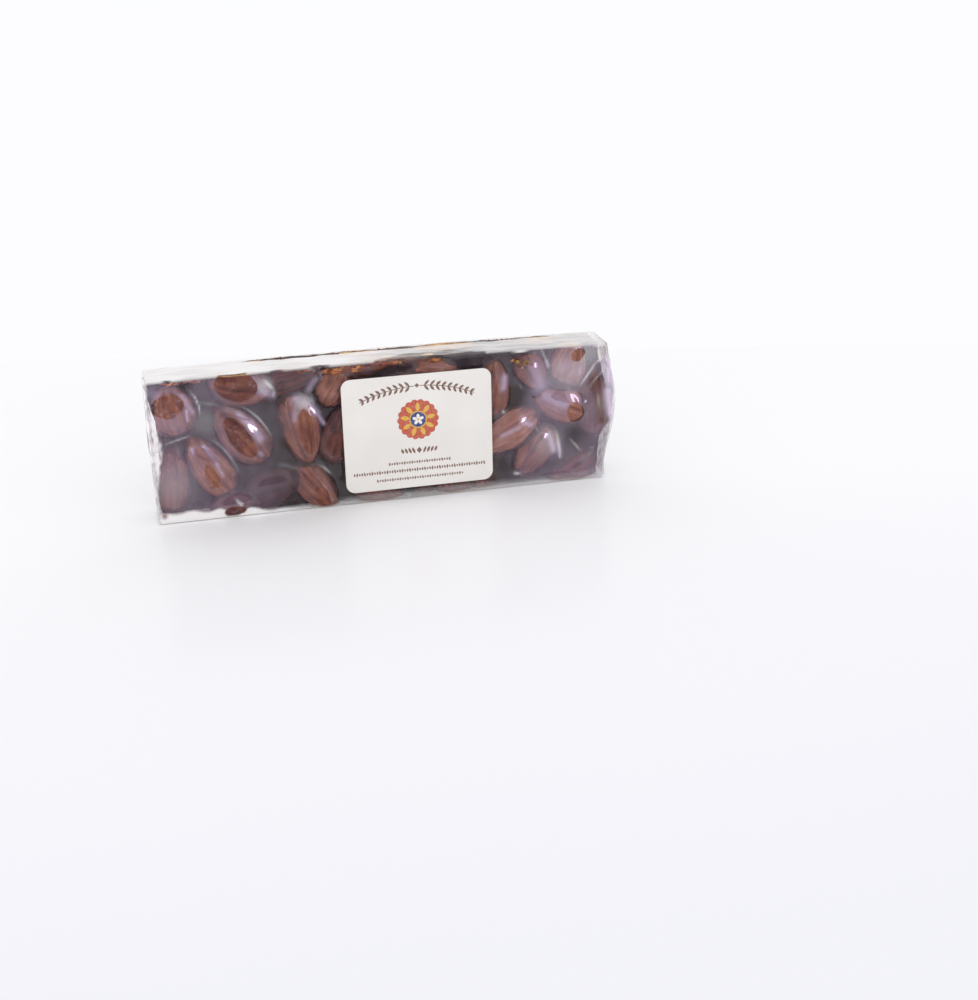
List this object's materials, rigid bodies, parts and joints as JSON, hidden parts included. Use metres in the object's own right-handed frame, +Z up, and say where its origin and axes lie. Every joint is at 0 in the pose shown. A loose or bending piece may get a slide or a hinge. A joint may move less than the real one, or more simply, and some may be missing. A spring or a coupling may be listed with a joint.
{
  "type": "almond nougat bar in clear wrapper",
  "caption": "Bar of whole almonds set in dark caramel, sealed in a tight clear film wrapper with folded ends and a rounded paper label, standing on its long narrow side.",
  "frame": {"origin": "middle of the foot, the long narrow side that the bar stands on", "axes": "+X along the bar's length, -Y out of the labelled large face, +Z up"},
  "size_m": [0.1739, 0.0191, 0.055],
  "materials": {
    "caramel": "gloss",
    "almond_skin": "gloss",
    "almond_flesh": "matte",
    "film": "gloss",
    "label_paper": "satin",
    "label_print": "satin"
  },
  "bodies": {
    "root": {"wrapped_bar": "caramel", "label": "label_paper"}
  },
  "joints": []
}
